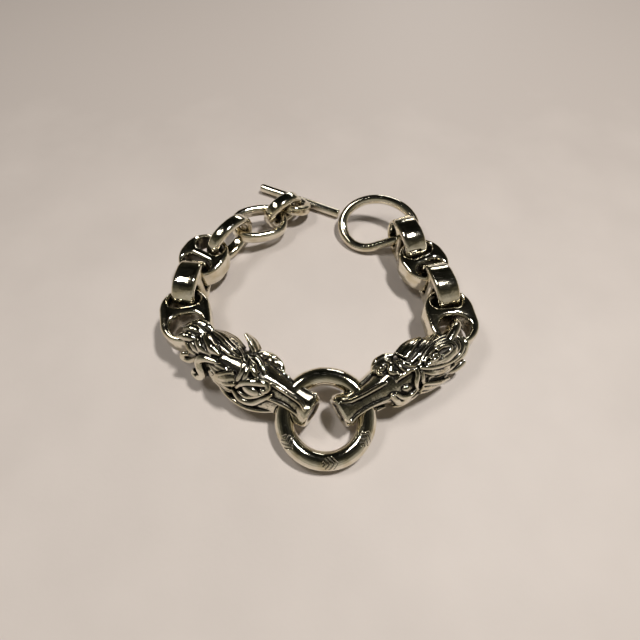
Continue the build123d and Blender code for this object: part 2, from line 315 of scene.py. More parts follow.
def noise(tree, place, scale, detail):
    """Soft noise, its scale per metre."""
    inputs = {"Vector": place, "Scale": scale, "Detail": detail}
    return add(tree, "ShaderNodeTexNoise", inputs).outputs["Fac"]


def bump(tree, height, strength, depth, under=None):
    """Bumps of a depth in metres, which may lie on other bumps."""
    node = add(tree, "ShaderNodeBump", {"Height": height, "Strength": strength, "Distance": depth})
    if under:
        tree.links.new(under, node.inputs["Normal"])
    return node.outputs[0]


# %% Silver
SILVER = (0.84, 0.79, 0.66)
TARNISH = (0.62, 0.54, 0.36)
# The black of the oxide, which also paints the shade in slots and hollows
OXIDE_AND_SHADE = (0.020, 0.018, 0.015)
CLOUDS, GRAINS, SCRATCHES = 260, 2600, 500     # scales of the noises
WAVE_DEPTH, GRAIN_DEPTH, CUT_DEPTH = 0.0004, 0.00005, 0.0004
POLISH = 0.045, 0.11                           # roughness from bright to dull
SCRATCH_DULL, OXIDE_DULL = 0.12, 0.25          # what scratches and oxide add to it
# The reach of the painted shade in the slots and in the hollows
SLOT_SHADE_REACH, GROOVE_SHADE_REACH = 0.007, 0.0025       # how far a spot looks out for the open


def silver(name, stain_and_shade):
    """Polished silver; the second argument says where it is black from oxide, chased strokes and painted
    shade, and how high it stands there.
    """
    material, tree, metal = shader(name)
    place = add(tree, "ShaderNodeTexCoord").outputs["Object"]
    cloud, grain = noise(tree, place, CLOUDS, 3), noise(tree, place, GRAINS, 4)
    drawn = add(tree, "ShaderNodeMapping", {
        "Vector": place, "Rotation": (0.4, 0.7, 0.9), "Scale": (1, 14, 1),
    }).outputs[0]
    scratch = remap(tree, noise(tree, drawn, SCRATCHES, 6), 0.62, 0.72, 0, 1)
    dull = calculate(tree, "MULTIPLY_ADD", scratch, SCRATCH_DULL, remap(tree, cloud, 0.3, 0.7, *POLISH))
    normal = bump(tree, grain, 0.12, GRAIN_DEPTH, bump(tree, cloud, 0.35, WAVE_DEPTH))
    black, height = stain_and_shade(tree, place, grain)
    if height:
        normal = bump(tree, height, 1.0, CUT_DEPTH, normal)
    mix = add(tree, "ShaderNodeMix", {"Factor": black}, data_type="RGBA")
    tree.links.new(ramp(tree, cloud, (0.42, SILVER), (0.72, TARNISH)), mix.inputs[6])
    mix.inputs[7].default_value = (*OXIDE_AND_SHADE, 1)
    metal.inputs["Metallic"].default_value = 1.0
    tree.links.new(mix.outputs[2], metal.inputs["Base Color"])
    tree.links.new(calculate(tree, "MULTIPLY_ADD", black, OXIDE_DULL, dull), metal.inputs["Roughness"])
    tree.links.new(normal, metal.inputs["Normal"])
    return material


def hollow(tree, reach, low, high):
    """Painted shade: one deep inside a piece's own hollows, zero where it lies open."""
    shade = add(tree, "ShaderNodeAmbientOcclusion", {"Distance": reach}, only_local=True, samples=6)
    return remap(tree, shade.outputs["AO"], low, high, 1, 0)


def oxide_and_shade_in_slots(tree, place, grain):
    """Black inside the slots, where no polishing wheel reaches: oxide, and painted shade that is deepest
    where a spot sees least of the open.
    """
    return calculate(tree, "MULTIPLY", hollow(tree, SLOT_SHADE_REACH, 0.58, 0.92), 0.85), None


def oxide_and_shade_in_grooves(tree, place, grain):
    """Black oxide where the relief is low, with a ragged edge, and painted shade where a hollow is deep."""
    relief = add(tree, "ShaderNodeAttribute", attribute_name="relief").outputs["Fac"]
    blotch = remap(tree, grain, 0.3, 0.7, -0.10, 0.10)
    grooves = remap(tree, calculate(tree, "ADD", relief, blotch), -0.17, 0.05, 1, 0)
    return calculate(tree, "MAXIMUM", grooves, hollow(tree, GROOVE_SHADE_REACH, 0.50, 0.90)), None


polished = silver("polished_silver", oxide_and_shade_in_slots)
cast = silver("cast_silver", oxide_and_shade_in_grooves)
print("finishes:", polished.name, cast.name)

# %% [markdown]
# ## The ring
#
# The ring is a round wire of 4.5 mm, closed and polished, with a few chased strokes. A torus could be
# added whole, but spinning one circle round the axis keeps the quads even. It lies tilted, because the
# two mouths lift its back. The strokes are hair-thin, so they belong to the finish: a Mapping node lays
# the tilted ring flat again, and two angles, round the ring and round its wire, say where a stroke runs.

# %% Ring
RING_HEIGHT = RING_RADIUS * sin(radians(RING_TILT)) + RING_WIRE / 2
ring_place = Matrix.Translation(Vector((RING_X, RING_Y, RING_HEIGHT)) + SHIFT)
ring_place = ring_place @ Matrix.Rotation(radians(RING_TILT), 4, "X")


def torus(radius, wire, around=160, section=40):
    """Closed ring of round wire, spun from one circle."""
    bm = fresh()
    circle = bmesh.ops.create_circle(bm, segments=section, radius=wire / 2)["verts"]
    bmesh.ops.rotate(bm, verts=circle, matrix=Matrix.Rotation(pi / 2, 3, "X"))
    bmesh.ops.translate(bm, verts=circle, vec=(radius, 0, 0))
    edges = list(bm.edges)
    bmesh.ops.spin(bm, geom=circle + edges, axis=(0, 0, 1), angle=2 * pi, steps=around, use_merge=True)
    bmesh.ops.recalc_face_normals(bm, faces=bm.faces)
    return bm


STROKE_GROUPS = (-148, -85, -28)     # degrees round the ring
STROKE_FACE = 75                     # degrees round the wire, from its outermost line up
STROKE_SLANT, STROKE_COUNT = 0.16, 62


def chased_strokes(tree, place, grain):
    """Short slanting strokes cut along the ring in groups, blackened."""
    flat = add(tree, "ShaderNodeMapping", {
        "Vector": place, "Location": ring_place.translation * MM, "Rotation": (radians(RING_TILT), 0, 0),
    }, vector_type="TEXTURE").outputs[0]
    axes = add(tree, "ShaderNodeSeparateXYZ", {"Vector": flat}).outputs
    round_ring = calculate(tree, "ARCTAN2", axes["Y"], axes["X"])
    far = calculate(tree, "SQRT", calculate(
        tree, "ADD", calculate(tree, "POWER", axes["X"], 2), calculate(tree, "POWER", axes["Y"], 2)))
    out = calculate(tree, "SUBTRACT", far, RING_RADIUS * MM)
    round_wire = calculate(tree, "ABSOLUTE", calculate(
        tree, "SUBTRACT", calculate(tree, "ARCTAN2", axes["Z"], out), radians(STROKE_FACE)))
    slant = calculate(tree, "MULTIPLY_ADD", round_wire, STROKE_SLANT, round_ring)
    strokes = calculate(tree, "SINE", calculate(tree, "MULTIPLY", slant, STROKE_COUNT))
    group = None
    for middle in STROKE_GROUPS:
        off = calculate(tree, "ABSOLUTE", calculate(tree, "SUBTRACT", round_ring, radians(middle)))
        near = remap(tree, calculate(tree, "MULTIPLY_ADD", round_wire, STROKE_SLANT, off), 0.17, 0.20, 1, 0)
        group = near if group is None else calculate(tree, "MAXIMUM", group, near)
    within = calculate(tree, "MULTIPLY", group, remap(tree, round_wire, 0.62, 0.72, 1, 0))
    cut_in = calculate(tree, "MULTIPLY", within, remap(tree, strokes, -0.1, 0.5, 0, 1))
    return calculate(tree, "MULTIPLY", cut_in, 0.6), calculate(tree, "SUBTRACT", 1.0, cut_in)


chased = silver("ring_silver", chased_strokes)
piece("bit_ring", torus(RING_RADIUS, RING_WIRE), "ring", chased, ring_place)

# %% [markdown]
# ## Large links
#
# A large link is a thick flat plate with round ends and two slots, and the bar that stays between them is
# its bridge. The flats are cut crisp and the edges rolled over. The plate is grown from its outline; the
# slots are cut by spools, wider at both faces, which leave the broad soft lips that catch the light.

# %% Large links
LARGE_LENGTH, LARGE_WIDTH, LARGE_THICK = 14.4, 12.9, 6.4
LARGE_END, LARGE_BRIDGE, LARGE_SIDE = 1.8, 2.4, 2.4
LARGE_ROLL = 1.0     # rounding of the outer edge
LARGE_LIP = 0.95     # rounding of the slots
FIRST_LEAD = 2.4     # how much longer the half next to a neck is


def lathed(bm, edges, rows):
    """Grow a closed body through rows of a way outwards and a height, capped at both ends."""
    stand({point for edge in edges for point in edge.verts}, bm, *rows[0])
    last = edges
    for out, up in rows[1:]:
        last = grown(bm, last, out, up)
    for loop in (edges, last):
        bmesh.ops.contextual_create(bm, geom=loop)
    bmesh.ops.recalc_face_normals(bm, faces=bm.faces)


def quarter(radius, steps=5):
    """Quarter circle: pairs of a way inwards and a rise."""
    turns = [pi / 2 * step / steps for step in range(steps + 1)]
    return [(radius * (1 - cos(turn)), radius * sin(turn)) for turn in turns]


def plate(length, width, tall, roll):
    """Thick plate with round ends along X and rolled edges."""
    bm = fresh()
    edges = outline(bm, width / 2, length - width)
    top = [(-inwards, tall / 2 - roll + rise) for inwards, rise in quarter(roll)]
    lathed(bm, edges, [(out, -up) for out, up in reversed(top)] + top)
    move(bm, (width - length) / 2)
    return bm


def spool(size, middle):
    """Cutter of a slot: straight in its waist and flared to both faces."""
    bm = fresh()
    across = LARGE_WIDTH - 2 * LARGE_SIDE
    edges = outline(bm, size / 2, across - size, count=96)
    top = [(inwards, LARGE_THICK / 2 - LARGE_LIP + rise) for inwards, rise in quarter(LARGE_LIP, 7)[:-1]]
    top.append((LARGE_LIP, LARGE_THICK / 2 + 0.01))
    top.append((LARGE_LIP + 0.4, LARGE_THICK / 2 + 1))
    lathed(bm, edges, [(out, -up) for out, up in reversed(top)] + top)
    move(bm, (size - across) / 2)
    bmesh.ops.rotate(bm, verts=bm.verts, matrix=Matrix.Rotation(pi / 2, 3, "Z"))
    move(bm, middle)
    return bm


def large_link(lead=0.0):
    """Flat-faced link with two slots, its bridge on the origin."""
    bm = plate(LARGE_LENGTH + lead, LARGE_WIDTH, LARGE_THICK, LARGE_ROLL)
    move(bm, -lead / 2)
    hole = (LARGE_LENGTH - 2 * LARGE_END - LARGE_BRIDGE) / 2
    for side, size in ((1, hole), (-1, hole + lead)):
        bm = cut(bm, spool(size, side * (LARGE_BRIDGE + size) / 2))
    return bm


# %% [markdown]
# ## Small links
#
# Towards the toggle bar the chain gets lighter: plain ovals bent from a boxy wire with soft edges. One
# outline and one section are enough for all three, so they differ only in length, width and belly.

# %% Small links
SMALL_THICK, SMALL_WALL, SMALL_ROUND = 3.8, 2.3, 1.12


def small_link(length, width, belly):
    """Oval link of boxy wire, lying along X."""
    bm = fresh()
    edges = outline(bm, (width - SMALL_WALL) / 2, length - width, belly)
    wired(bm, edges, boxed(SMALL_WALL, SMALL_THICK, SMALL_ROUND))
    move(bm, (width - length) / 2)
    return bm


# %% Both chains
KINDS = {
    "first": lambda: large_link(FIRST_LEAD),
    "large": large_link,
    "join": lambda: small_link(16.2, 13.0, 0.3),
    "small": lambda: small_link(17.0, 10.4, 0.6),
    "last": lambda: small_link(13.0, 10.4, 0.25),
}
CHAIN = [
    # node, kind, x, y, z, heading, pitch, roll; a link without a height stands on the table
    ("link_left_1", "first", -35.0, -2.3, 6.3, 103.1, -0.7, 2.6),
    ("link_left_2", "large", -34.9, 6.9, None, 81.6, 0.2, 89.6),
    ("link_left_3", "large", -32.5, 15.9, 6.5, 62.1, 1.7, 3.2),
    ("link_left_4", "join", -26.1, 23.3, None, 51.6, 0.3, 96.3),
    ("link_left_5", "small", -18.2, 30.4, 5.4, 21.1, -9.1, 11.5),
    ("link_left_6", "last", -11.4, 35.8, None, 42.2, 0.2, 98.8),
    ("link_right_1", "first", 33.5, -2.8, 6.5, 97.7, -0.5, 0.5),
    ("link_right_2", "large", 32.1, 6.0, None, 104.9, 0.0, 90.2),
    ("link_right_3", "large", 28.8, 14.4, 6.2, 115.9, 0.1, -0.2),
    ("link_right_4", "large", 25.1, 22.6, None, 108.1, -1.1, 88.6),
]

for node, kind, x, y, z, heading, pitch, roll in CHAIN:
    place = turned(x, y, z or 0, heading, pitch, roll)
    piece(node + "_silver", KINDS[kind](), node, polished, place, standing=z is None, crisp=20)

# %% [markdown]
# ## The toggle clasp
#
# The bar is a length of round wire with a thick eye soldered on; solder leaves a small soft fillet, which
# a voxel remesh of the two gives for free. The loop was bent by hand from round wire, so it is neither a
# circle nor an oval. An egg fits it: its reach swings once, twice and three times on the way round. Only
# the side that lies in the last link runs straight, to stay clear of it.

# %% Toggle bar
BAR_LENGTH, BAR_WIRE, BAR_EDGE = 27.8, 2.7, 0.45
EYE_OUTER, EYE_HOLE, EYE_THICK, EYE_ROUND = 10.2, 5.2, 3.0, 0.9
EYE_SHIFT, EYE_SOLDER = 0.8, 0.8     # place of the eye along the bar, and how deep it sits in it
SOLDER_BEAD = (2.6, 0.9, 1.1)        # half sizes of the bead of solder
BAR_SKIN = 0.14                      # voxels that melt the bar and the eye together
BAR_PLACE, BAR_TURN = (-6.6, 43.9), (-24.5, -0.2, -28.0)


def toggle_bar():
    """Round bar with its soldered eye."""
    bm = fresh()
    bmesh.ops.create_cone(
        bm, cap_ends=True, segments=48, radius1=BAR_WIRE / 2, radius2=BAR_WIRE / 2, depth=BAR_LENGTH)
    bmesh.ops.rotate(bm, verts=bm.verts, matrix=Matrix.Rotation(pi / 2, 3, "Y"))
    rims = [edge for edge in bm.edges if abs(edge.verts[0].co.x - edge.verts[1].co.x) < 1e-4]
    bmesh.ops.bevel(
        bm, geom=rims, affect="EDGES", offset=BAR_EDGE, offset_type="OFFSET", segments=4, profile=0.5,
        material=-1)
    apart = (EYE_OUTER + BAR_WIRE) / 2 - EYE_SOLDER
    eye = fresh()
    wall = (EYE_OUTER - EYE_HOLE) / 2
    wired(eye, outline(eye, (EYE_OUTER + EYE_HOLE) / 4, 0), boxed(wall, EYE_THICK, EYE_ROUND))
    move(eye, EYE_SHIFT, -apart)
    bead = fresh()
    bmesh.ops.create_uvsphere(bead, u_segments=24, v_segments=16, radius=1)
    bmesh.ops.scale(bead, verts=bead.verts, vec=SOLDER_BEAD)
    move(bead, EYE_SHIFT, -BAR_WIRE / 2 - 0.1)
    bm = cut(cut(bm, eye, "UNION"), bead, "UNION")
    return melted(bm, BAR_SKIN, 5)


piece("toggle_bar_silver", toggle_bar(), "toggle_bar", polished, turned(*BAR_PLACE, 0, *BAR_TURN), True)

# %% Toggle loop
LOOP_EGG = (9.35, 2.95, 1.45, 0.25)                  # mean reach, then its swings
LOOP_ROUND, LOOP_TIP, LOOP_SPAN = 7.6, 4.0, 10.0     # the two arcs of the straight side
LOOP_WIRE, LOOP_SWELL = 2.7, 0.1                     # the wire is a tenth wider at the round end
LOOP_PLACE, LOOP_TURN = (14.4, 31.2), (-11.7, 9.4, 22.9)


def egg(bm, swings, count=160):
    """Egg-shaped loop of points, its tip along X; the side in the last link runs straight."""
    foot, way = bm.verts.layers.float_vector["foot"], bm.verts.layers.float_vector["way"]
    for point in bmesh.ops.create_circle(bm, segments=count, radius=1)["verts"]:
        out = point.co.copy()
        turn = atan2(out.y, out.x)
        reach = sum(swing * cos(i * turn) for i, swing in enumerate(swings))
        slope = sum(-i * swing * sin(i * turn) for i, swing in enumerate(swings))
        if out.y < 0:
            reach, slope = max((LOOP_ROUND, 0.0), (LOOP_TIP + LOOP_SPAN * out.x, -LOOP_SPAN * out.y))
        point[way] = out * (1 + LOOP_SWELL * max(0, -out.x))
        point[foot] = out * reach + Vector((-out.y, out.x, 0)) * slope
    return list(bm.edges)


loop = fresh()
wired(loop, egg(loop, LOOP_EGG), rounded(LOOP_WIRE))
piece("toggle_loop_silver", loop, "toggle_loop", polished, turned(*LOOP_PLACE, 0, *LOOP_TURN), True)

# %% [markdown]
# ## The horse heads
#
# Each head was carved in wax and cast, so all its forms flow into each other. It is modelled the same way:
# a lofted skull, then locks, brows and ears laid on as tapered strands, then everything melted into one
# skin by a voxel remesh. Places on a head are shares of its length back from the muzzle, of its width to
# its left side, and of its height above the bitten wire.

# %% Places on a head
HEAD_LENGTH, HEAD_WIDTH, HEAD_HEIGHT = 33.0, 14.0, 13.0
HEAD_NOSE, HEAD_ROLL = 7.0, 11.0
MOUTHS = {
    # node: bite on the ring, way of the neck, turn of the lug, first link
    "head_left": (153.0, 149.6, -14.0, "link_left_1"),
    "head_right": (27.0, 31.2, 26.0, "link_right_1"),
}


def spot(back, side, up):
    """A place on the head from its shares."""
    return Vector((HEAD_NOSE - back * HEAD_LENGTH, side * HEAD_WIDTH, up * HEAD_HEIGHT))


def place_of_head(node):
    """Frame of a head: X from the neck to the muzzle, its origin on the bitten wire."""
    bite, neck = MOUTHS[node][:2]
    wire = Vector((RING_RADIUS * cos(radians(bite)), RING_RADIUS * sin(radians(bite)), 0))
    mouth = ring_place @ wire - SHIFT
    return turned(*mouth, neck + 180, roll=-HEAD_ROLL)


def bend(stops, count):
    """Smooth line through its stops."""
    stops = [2 * stops[0] - stops[1], *stops, 2 * stops[-1] - stops[-2]]
    line = []
    for step in range(count):
        along = step / (count - 1) * (len(stops) - 3)
        start = min(int(along), len(stops) - 4)
        t = along - start
        a, b, c, d = stops[start:start + 4]
        bow, twist = 2 * a - 5 * b + 4 * c - d, 3 * b - a - 3 * c + d
        line.append(0.5 * (2 * b + (c - a) * t + bow * t ** 2 + twist * t ** 3))
    return line


# %% Skull
SKULL = [
    # back, top, bottom, half width, how much narrower the top is, lean of the nose in degrees
    (0.020, 0.10, -0.10, 0.12, 0.00, 16),
    (0.008, 0.18, -0.19, 0.21, 0.05, 16),
    (0.008, 0.235, -0.235, 0.265, 0.05, 16),
    (0.026, 0.275, -0.27, 0.300, 0.08, 16),
    (0.060, 0.280, -0.285, 0.295, 0.16, 17),
    (0.110, 0.275, -0.30, 0.272, 0.28, 18),
    (0.170, 0.280, -0.32, 0.268, 0.34, 18),
    (0.240, 0.310, -0.34, 0.285, 0.36, 18),
    (0.310, 0.350, -0.37, 0.320, 0.34, 17),
    (0.370, 0.395, -0.42, 0.370, 0.30, 14),
    (0.430, 0.430, -0.455, 0.410, 0.28, 10),
    (0.500, 0.460, -0.465, 0.425, 0.26, 6),
    (0.600, 0.465, -0.445, 0.400, 0.24, 2),
    (0.720, 0.455, -0.41, 0.375, 0.22, 0),
    (0.860, 0.420, -0.38, 0.355, 0.20, 0),
    (0.960, 0.380, -0.35, 0.315, 0.18, 0),
    (1.000, 0.300, -0.28, 0.240, 0.18, 0),
]


def section_point(row, turn):
    """Point of one section at a turn round it, its corners fuller than an ellipse's."""
    back, top, bottom, half, pinch, lean = row
    power = 2 / (2.5 if back < 0.05 else 3.0 if back < 0.35 else 2.6)
    across = copysign(abs(cos(turn)) ** power, cos(turn))
    upward = copysign(abs(sin(turn)) ** power, sin(turn))
    middle, tall = (top + bottom) / 2, (top - bottom) / 2
    wide = half * (1 - pinch * (upward + 1) / 2)
    point = spot(back, across * wide, middle + upward * tall)
    return Matrix.Rotation(radians(-lean), 3, "X") @ point


def skull(bm, count=48):
    """Loft the skull from its sections."""
    turn_of = bm.verts.layers.float.new("turn")
    loop = bmesh.ops.create_circle(bm, segments=count, radius=1)["verts"]
    for point in loop:
        point[turn_of] = np.arctan2(point.co.y, point.co.x)
        point.co = section_point(SKULL[0], point[turn_of])
    first = last = list({edge for point in loop for edge in point.link_edges})
    for row in SKULL[1:]:
        points, last = extruded(bm, last)
        for point in points:
            point.co = section_point(row, point[turn_of])
    for loop in (first, last):
        bmesh.ops.contextual_create(bm, geom=loop)


print("sections of the skull:", len(SKULL))

# %% Strands and bulges
LOCK_CORE, LOCK_FLAT = 0.72, 0.8         # the strand below the hairs of a lock
LOCK_SPREAD, LOCK_ARCH = 0.75, 0.45      # how far the hairs spread and rise from it


def ways_along(line):
    """For each point of a line: the point, the way on, the way out of the head, and the way across."""
    for i, point in enumerate(line):
        ahead = line[min(i + 1, len(line) - 1)] - line[max(i - 1, 0)]
        outwards = Vector((0, point.y, point.z)).normalized()
        yield point, ahead, outwards, ahead.cross(outwards).normalized()


def strand(bm, line, widths, flat=1.0, sides=10):
    """Tapered strand along a line; a flat one is lower than it is wide."""
    places = []
    for (point, ahead, _, across), width in zip(ways_along(line), widths):
        outwards = across.cross(ahead).normalized()
        turn = Matrix((across * width, outwards * width * flat, ahead.normalized())).transposed()
        places.append(Matrix.Translation(point) @ turn.to_4x4())
    loop = bmesh.ops.create_circle(bm, cap_ends=True, segments=sides, radius=1, matrix=places[0])["verts"]
    edges = list({edge for point in loop for edge in point.link_edges})
    for before, after in zip(places, places[1:]):
        points, edges = extruded(bm, edges)
        bmesh.ops.transform(bm, matrix=after @ before.inverted(), verts=points)
    bmesh.ops.contextual_create(bm, geom=edges)


def widths_along(widths, count):
    """Widths at even steps between the given ones."""
    return list(np.interp(np.linspace(0, len(widths) - 1, count), range(len(widths)), widths))


def lock(bm, widths, hairs, *stops):
    """Lock of hair: one strand, or several that lie side by side and meet at both ends."""
    count = 5 * len(stops)
    line = bend([spot(*stop) for stop in stops], count)
    sizes = widths_along(widths, count)
    if hairs == 1:
        strand(bm, line, sizes)
        return
    strand(bm, line, [size * LOCK_CORE for size in sizes], LOCK_FLAT)
    for hair in range(hairs):
        offset = (hair / (hairs - 1) - 0.5) * 2
        shifted = []
        for (point, _, outwards, across), size in zip(ways_along(line), sizes):
            lift = LOCK_ARCH * (1 - offset ** 2) * size
            shifted.append(point + across * offset * LOCK_SPREAD * size + outwards * lift)
        strand(bm, shifted, [size * 1.05 / hairs + 0.08 for size in sizes])


def bulge(bm, where, size):
    """Rounded lump such as an eye or a jowl, its three half sizes in millimetres."""
    ball = bmesh.ops.create_icosphere(bm, subdivisions=3, radius=1)["verts"]
    bmesh.ops.scale(bm, verts=ball, vec=size)
    bmesh.ops.translate(bm, verts=ball, vec=spot(*where))


# %% [markdown]
# ### Carving the two heads
#
# The heads are two castings of one idea, but the side that faces up differs. On the left one, long combed
# locks cross the neck and end in curls; on the right one, they run in ovals round a bead. So each has its
# own table of locks: the widths along the lock in millimetres, its hairs, then its stops.

# %% Locks of the left head
LEFT_LOCKS = [
    # mane, combed across the neck
    ((0.5, 1.9, 2.2, 1.8, 0.6), 4,
     (0.6, 0.0, 0.5), (0.73, 0.07, 0.46), (0.86, 0.15, 0.42), (1.01, 0.22, 0.36)),
    ((0.4, 1.5, 1.5, 0.6), 1,
     (0.765, -0.14, 0.45), (0.84, -0.1, 0.45), (0.93, 0.01, 0.43), (1.03, 0.14, 0.37)),
    ((0.4, 1.5, 1.5, 0.6), 1,
     (0.825, -0.2, 0.41), (0.92, -0.15, 0.39), (0.99, -0.06, 0.4), (1.06, 0.05, 0.38)),
    ((0.4, 1.3, 1.3, 0.5), 1,
     (0.9, -0.24, 0.33), (0.97, -0.18, 0.34), (1.03, -0.12, 0.36), (1.08, -0.04, 0.39)),
    ((0.4, 1.1, 1.1, 0.5), 1,
     (0.95, -0.26, 0.24), (1.0, -0.23, 0.27), (1.04, -0.19, 0.32), (1.08, -0.13, 0.38)),
    ((0.6, 1.3, 1.3, 0.5), 1,
     (0.93, 0.2, 0.42), (1.0, 0.22, 0.44), (1.07, 0.2, 0.44), (1.13, 0.14, 0.43)),
    ((0.6, 1.3, 1.3, 0.5), 1,
     (0.95, 0.05, 0.43), (1.02, 0.06, 0.45), (1.09, 0.03, 0.45), (1.14, -0.03, 0.43)),
    ((0.6, 1.2, 1.2, 0.5), 1,
     (0.96, -0.1, 0.4), (1.03, -0.11, 0.43), (1.09, -0.15, 0.43), (1.13, -0.21, 0.42)),
    ((0.4, 1.2, 1.2, 0.5), 2,
     (0.66, 0.22, 0.42), (0.77, 0.26, 0.42), (0.87, 0.27, 0.4), (0.99, 0.25, 0.34)),
    ((0.4, 1.1, 1.1, 0.4), 2, (0.7, 0.33, 0.26), (0.8, 0.33, 0.26), (0.9, 0.31, 0.24), (1.0, 0.26, 0.2)),
    ((0.4, 1.2, 1.2, 0.4), 2,
     (0.68, 0.36, 0.08), (0.79, 0.36, 0.02), (0.89, 0.33, -0.04), (0.99, 0.28, -0.08)),
    ((0.4, 1.1, 1.1, 0.4), 2,
     (0.66, 0.35, -0.12), (0.77, 0.35, -0.2), (0.88, 0.32, -0.24), (0.98, 0.26, -0.26)),
    # curls at the lower edge
    ((0.6, 0.9, 0.85, 0.75, 0.6), 1,
     (0.92, -0.27, 0.22), (1.0, -0.3, 0.03), (1.05, -0.34, 0.05), (1.05, -0.33, 0.17),
     (1.01, -0.28, 0.18)),
    ((0.6, 1.05, 1.15, 1.15, 1.05, 0.95, 0.85, 0.7), 1,
     (0.77, -0.24, 0.36), (0.87, -0.27, 0.31), (0.91, -0.31, 0.2), (0.885, -0.36, 0.06),
     (0.865, -0.38, -0.09), (0.905, -0.4, -0.22), (0.955, -0.38, -0.2), (0.94, -0.36, -0.11)),
    # cheek
    ((0.3, 1.3, 1.4, 0.4), 2,
     (0.83, -0.28, 0.24), (0.74, -0.3, 0.28), (0.66, -0.31, 0.31), (0.575, -0.29, 0.34)),
    ((0.3, 1.2, 1.2, 0.4), 2,
     (0.82, -0.33, 0.1), (0.74, -0.36, 0.04), (0.66, -0.38, -0.03), (0.59, -0.39, -0.04)),
    ((0.4, 1.1, 1.1, 1.1, 0.9, 0.3), 2,
     (0.77, -0.34, 0.0), (0.695, -0.37, -0.18), (0.6, -0.4, -0.27), (0.47, -0.41, -0.27),
     (0.36, -0.35, -0.24), (0.26, -0.28, -0.16)),
    ((0.5, 0.9, 0.9, 0.8, 0.3), 1,
     (0.595, -0.38, 0.05), (0.515, -0.41, -0.07), (0.42, -0.38, -0.03), (0.355, -0.29, 0.12),
     (0.3, -0.2, 0.24)),
    ((0.5, 0.65, 0.7, 0.65, 0.4), 1,
     (0.61, -0.01, 0.51), (0.57, -0.09, 0.52), (0.55, -0.21, 0.46), (0.56, -0.31, 0.33),
     (0.6, -0.37, 0.1)),
    ((0.4, 0.6, 0.6, 0.4), 1,
     (0.563, 0.04, 0.52), (0.53, -0.13, 0.49), (0.515, -0.25, 0.41), (0.55, -0.36, 0.18)),
    # forelock
    ((0.3, 0.7, 0.7, 0.3), 2,
     (0.617, 0.09, 0.5), (0.59, 0.19, 0.46), (0.54, 0.26, 0.42), (0.485, 0.24, 0.42)),
    ((0.3, 0.7, 0.7, 0.3), 1,
     (0.58, 0.04, 0.51), (0.51, -0.01, 0.49), (0.475, -0.12, 0.46), (0.43, -0.15, 0.42)),
    ((0.3, 0.7, 0.6, 0.3), 1,
     (0.59, 0.08, 0.51), (0.525, 0.13, 0.48), (0.46, 0.05, 0.47), (0.41, -0.03, 0.44)),
    ((0.3, 0.6, 0.3), 1, (0.56, -0.06, 0.52), (0.5, -0.1, 0.49), (0.45, -0.06, 0.46)),
    # brows and lids
    ((0.4, 0.8, 1.0, 1.0, 0.9, 0.7, 0.5), 1,
     (0.54, 0.12, 0.47), (0.545, 0.23, 0.43), (0.51, 0.32, 0.39), (0.45, 0.36, 0.36), (0.39, 0.34, 0.33),
     (0.345, 0.28, 0.31), (0.34, 0.22, 0.33)),
    ((0.4, 0.8, 0.8, 0.4), 1,
     (0.345, 0.34, 0.22), (0.4, 0.4, 0.16), (0.47, 0.41, 0.14), (0.53, 0.38, 0.2)),
    ((0.4, 0.85, 1.0, 1.0, 0.85, 0.75, 0.6, 0.45), 1,
     (0.56, -0.37, 0.14), (0.53, -0.32, 0.28), (0.47, -0.26, 0.37), (0.41, -0.2, 0.4),
     (0.365, -0.155, 0.385), (0.34, -0.19, 0.335), (0.355, -0.245, 0.295), (0.385, -0.25, 0.31)),
    ((0.4, 0.6, 0.6, 0.3), 1,
     (0.54, -0.38, 0.1), (0.465, -0.4, 0.11), (0.4, -0.345, 0.19), (0.35, -0.27, 0.26)),
    # nose
    ((0.3, 0.5, 0.45, 0.5, 0.5), 1,
     (0.38, 0.24, 0.33), (0.3, 0.22, 0.275), (0.2, 0.185, 0.235), (0.1, 0.19, 0.215), (0.04, 0.23, 0.2)),
    ((0.3, 0.5, 0.45, 0.5, 0.5), 1,
     (0.38, -0.1, 0.385), (0.3, -0.085, 0.345), (0.2, -0.08, 0.3), (0.1, -0.09, 0.275),
     (0.04, -0.15, 0.245)),
    ((0.3, 0.6, 0.5, 0.5), 1,
     (0.33, -0.27, 0.15), (0.22, -0.2, 0.11), (0.11, -0.2, 0.08), (0.05, -0.24, 0.05)),
]
LEFT_BULGES = [
    # place, half sizes
    ((0.44, 0.31, 0.25), (3.0, 1.9, 2.2)),
    ((0.45, -0.315, 0.235), (2.3, 1.2, 1.5)),
    ((0.5, -0.26, -0.22), (4.0, 2.6, 3.4)),
    ((0.5, 0.24, -0.18), (4.0, 2.6, 3.4)),
    ((0.84, 0.1, 0.33), (5.4, 3.2, 1.9)),
]

print("locks on the left head:", len(LEFT_LOCKS))

